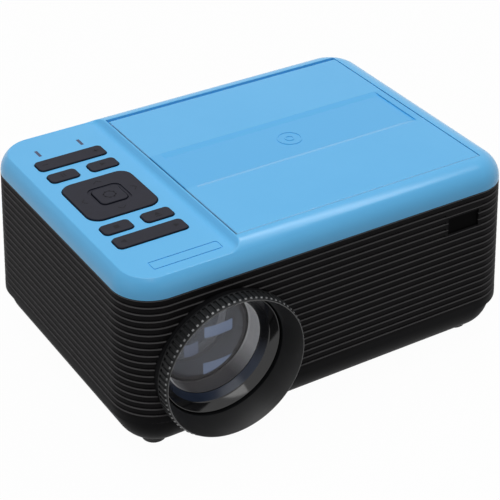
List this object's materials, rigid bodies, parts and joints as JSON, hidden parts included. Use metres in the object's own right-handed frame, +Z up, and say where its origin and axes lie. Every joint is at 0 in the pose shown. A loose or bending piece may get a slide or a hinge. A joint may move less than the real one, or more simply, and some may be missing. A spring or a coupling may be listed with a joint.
{
  "type": "projector with disc player",
  "caption": "Desktop projector with a top-loading disc player: rolled blue cover with hinged lid and key panel, ribbed black wall, hooded focusing lens at the front left.",
  "frame": {"origin": "on the table, under the middle of the whole object's box", "axes": "+Z up, -Y the way the lens looks, +X to the right of the body seen from the lens side"},
  "size_m": [0.2724, 0.209, 0.1258],
  "materials": {
    "sky_blue_cover": "satin",
    "ribbed_black": "fine matt",
    "smooth_black": "satin",
    "key_grey": "satin",
    "rubber_black": "matt",
    "gloss_black": "polished",
    "dark_window": "polished",
    "lamp_blue": "clear",
    "coated_glass": "coated",
    "steel": "turned",
    "zinc_plate": "zinc plated sheet",
    "aluminium": "extruded",
    "magnet": "sintered",
    "board_green": "solder mask",
    "chip_black": "moulded",
    "deck_grey": "satin",
    "phono_yellow": "moulded",
    "phono_plain": "moulded",
    "light_white": "ceramic"
  },
  "bodies": {
    "projector_body": {"base_pan": "smooth_black", "ribbed_wall": "ribbed_black", "top_cover": "sky_blue_cover", "base_screws": "steel", "rubber_feet": "rubber_black", "key_board": "board_green", "key_switches": "chip_black", "status_lights": "lamp_blue", "lid_hinge_pins": "steel", "disc_deck": "deck_grey", "catch_magnet": "magnet", "drive_plate": "zinc_plate", "drive_posts": "rubber_black", "spindle_motor": "steel", "guide_rods": "steel", "sled_motor": "steel", "lens_mount": "smooth_black", "projection_tube": "smooth_black", "optics_shelf": "zinc_plate", "panel_frame": "chip_black", "picture_panel": "coated_glass", "light_duct": "zinc_plate", "fresnel_plate": "coated_glass", "light_source": "light_white", "heat_sink": "aluminium", "fan_frame": "chip_black", "rear_panel": "smooth_black", "mains_inlet": "smooth_black", "monitor_socket": "steel", "phones_socket": "smooth_black", "side_grille": "smooth_black", "loudspeaker": "chip_black", "main_board_chips": "chip_black", "power_parts": "chip_black", "remote_window": "dark_window", "remote_receiver": "chip_black", "video_socket": "phono_yellow", "audio_sockets": "phono_plain", "main_board": "board_green", "power_board": "board_green"},
    "disc_lid": {"disc_lid": "sky_blue_cover", "strike_plate": "zinc_plate"},
    "back_rocker_key": {"back_rocker_key": "key_grey"},
    "front_rocker_key": {"front_rocker_key": "key_grey"},
    "back_left_key": {"back_left_key": "key_grey"},
    "back_right_key": {"back_right_key": "key_grey"},
    "front_left_key": {"front_left_key": "key_grey"},
    "front_right_key": {"front_right_key": "key_grey"},
    "pad_cradle": {"pad_cradle": "chip_black"},
    "direction_pad": {"direction_pad": "key_grey"},
    "enter_key": {"enter_key": "key_grey"},
    "focus_ring": {"focus_ring": "smooth_black"},
    "lens_cell": {"lens_cell": "gloss_black", "front_glass": "coated_glass", "rear_glass": "coated_glass"},
    "disc_turntable": {"disc_turntable": "deck_grey"},
    "optical_pickup": {"optical_pickup": "chip_black", "objective_lens": "coated_glass"},
    "lead_screw": {"lead_screw": "steel"},
    "fan_rotor": {"fan_rotor": "chip_black"}
  },
  "joints": [
    {"name": "lid_hinge", "type": "hinge", "parent": "projector_body", "child": "disc_lid", "pos_m": [0.03, 0.08179, 0.1223], "axis": [-1, 0, 0], "range_deg": [0, 70]},
    {"name": "back_rocker_tilt", "type": "hinge", "parent": "projector_body", "child": "back_rocker_key", "pos_m": [-0.0953, 0.05824, 0.1173], "axis": [0, 1, 0], "range_deg": [-2, 2], "stiffness_Nm_per_rad": 0.06},
    {"name": "front_rocker_tilt", "type": "hinge", "parent": "projector_body", "child": "front_rocker_key", "pos_m": [-0.0953, -0.04326, 0.1173], "axis": [0, 1, 0], "range_deg": [-2, 2], "stiffness_Nm_per_rad": 0.06},
    {"name": "pad_tilt_sideways", "type": "hinge", "parent": "projector_body", "child": "pad_cradle", "pos_m": [-0.0953, 0.00664, 0.1173], "axis": [0, 1, 0], "range_deg": [-2, 2], "stiffness_Nm_per_rad": 0.06},
    {"name": "pad_tilt_endways", "type": "hinge", "parent": "pad_cradle", "child": "direction_pad", "pos_m": [-0.0953, 0.00664, 0.1173], "axis": [1, 0, 0], "range_deg": [-2, 2], "stiffness_Nm_per_rad": 0.06},
    {"name": "enter_press", "type": "slide", "parent": "projector_body", "child": "enter_key", "axis": [0, 0, -1], "range_m": [0, 0.0008], "stiffness_N_per_m": 250},
    {"name": "back_left_press", "type": "slide", "parent": "projector_body", "child": "back_left_key", "axis": [0, 0, -1], "range_m": [0, 0.0008], "stiffness_N_per_m": 250},
    {"name": "back_right_press", "type": "slide", "parent": "projector_body", "child": "back_right_key", "axis": [0, 0, -1], "range_m": [0, 0.0008], "stiffness_N_per_m": 250},
    {"name": "front_left_press", "type": "slide", "parent": "projector_body", "child": "front_left_key", "axis": [0, 0, -1], "range_m": [0, 0.0008], "stiffness_N_per_m": 250},
    {"name": "front_right_press", "type": "slide", "parent": "projector_body", "child": "front_right_key", "axis": [0, 0, -1], "range_m": [0, 0.0008], "stiffness_N_per_m": 250},
    {"name": "focus_turn", "type": "hinge", "parent": "projector_body", "child": "focus_ring", "pos_m": [-0.0751, -0.09451, 0.0579], "axis": [0, 1, 0], "range_deg": [-90, 90]},
    {"name": "focus_travel", "type": "slide", "parent": "projector_body", "child": "lens_cell", "axis": [0, 1, 0], "range_m": [-0.0041, 0.0041]},
    {"name": "disc_spin", "type": "hinge", "parent": "projector_body", "child": "disc_turntable", "pos_m": [0.03, 0.00549, 0.1108], "axis": [0, 0, 1], "continuous": true},
    {"name": "pickup_travel", "type": "slide", "parent": "projector_body", "child": "optical_pickup", "axis": [1, 0, 0], "range_m": [0, 0.034]},
    {"name": "screw_spin", "type": "hinge", "parent": "projector_body", "child": "lead_screw", "pos_m": [0.06, -0.01701, 0.1028], "axis": [1, 0, 0], "range_deg": [-10, 4090]},
    {"name": "fan_spin", "type": "hinge", "parent": "projector_body", "child": "fan_rotor", "pos_m": [-0.0751, 0.08549, 0.0579], "axis": [0, 1, 0], "continuous": true}
  ],
  "couplings": [
    {"joint": "focus_travel", "follows": "focus_turn", "m_per_rad": 0.0025465},
    {"joint": "screw_spin", "follows": "pickup_travel", "rad_per_m": 2094.4}
  ]
}
